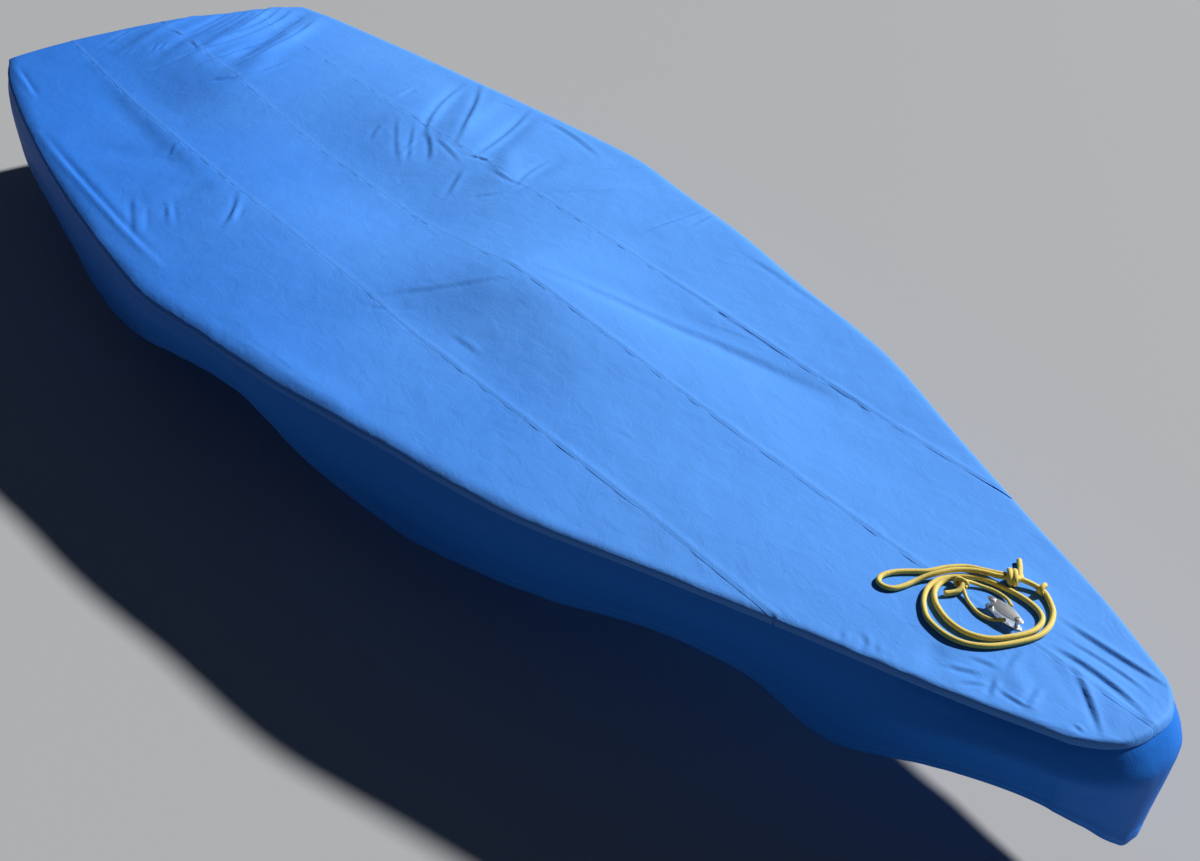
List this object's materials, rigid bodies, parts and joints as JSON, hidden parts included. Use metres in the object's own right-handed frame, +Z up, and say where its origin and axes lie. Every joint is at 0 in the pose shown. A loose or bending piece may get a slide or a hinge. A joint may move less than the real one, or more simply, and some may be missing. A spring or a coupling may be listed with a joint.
{
  "type": "boat cover",
  "caption": "Fitted cloth cover for a small racing dinghy: a top of lengthwise panels, a skirt with an uneven hem below the gunwale seam, and a coiled bow line with its fitting.",
  "frame": {"origin": "on the underside of the top, on the centreline, 2.10 m forward of the transom edge", "axes": "+X to the bow, +Y to port, +Z up"},
  "size_m": [4.3168, 1.529, 0.3616],
  "materials": {
    "cover_cloth": "matt coated woven cloth",
    "bow_line": "braided line",
    "fitting": "bright, lightly worn"
  },
  "bodies": {
    "root": {"top_inner_starboard": "cover_cloth", "top_inner_port": "cover_cloth", "top_outer_starboard": "cover_cloth", "top_outer_port": "cover_cloth", "skirt_starboard_aft": "cover_cloth", "skirt_starboard_waist": "cover_cloth", "skirt_starboard_fore": "cover_cloth", "skirt_starboard_bow": "cover_cloth", "skirt_port_aft": "cover_cloth", "skirt_port_waist": "cover_cloth", "skirt_port_fore": "cover_cloth", "skirt_port_bow": "cover_cloth", "skirt_transom": "cover_cloth", "bow_line_coil": "bow_line", "bow_line_bight": "bow_line", "bow_line_lashing": "bow_line", "bow_line_fitting": "fitting"}
  },
  "joints": []
}
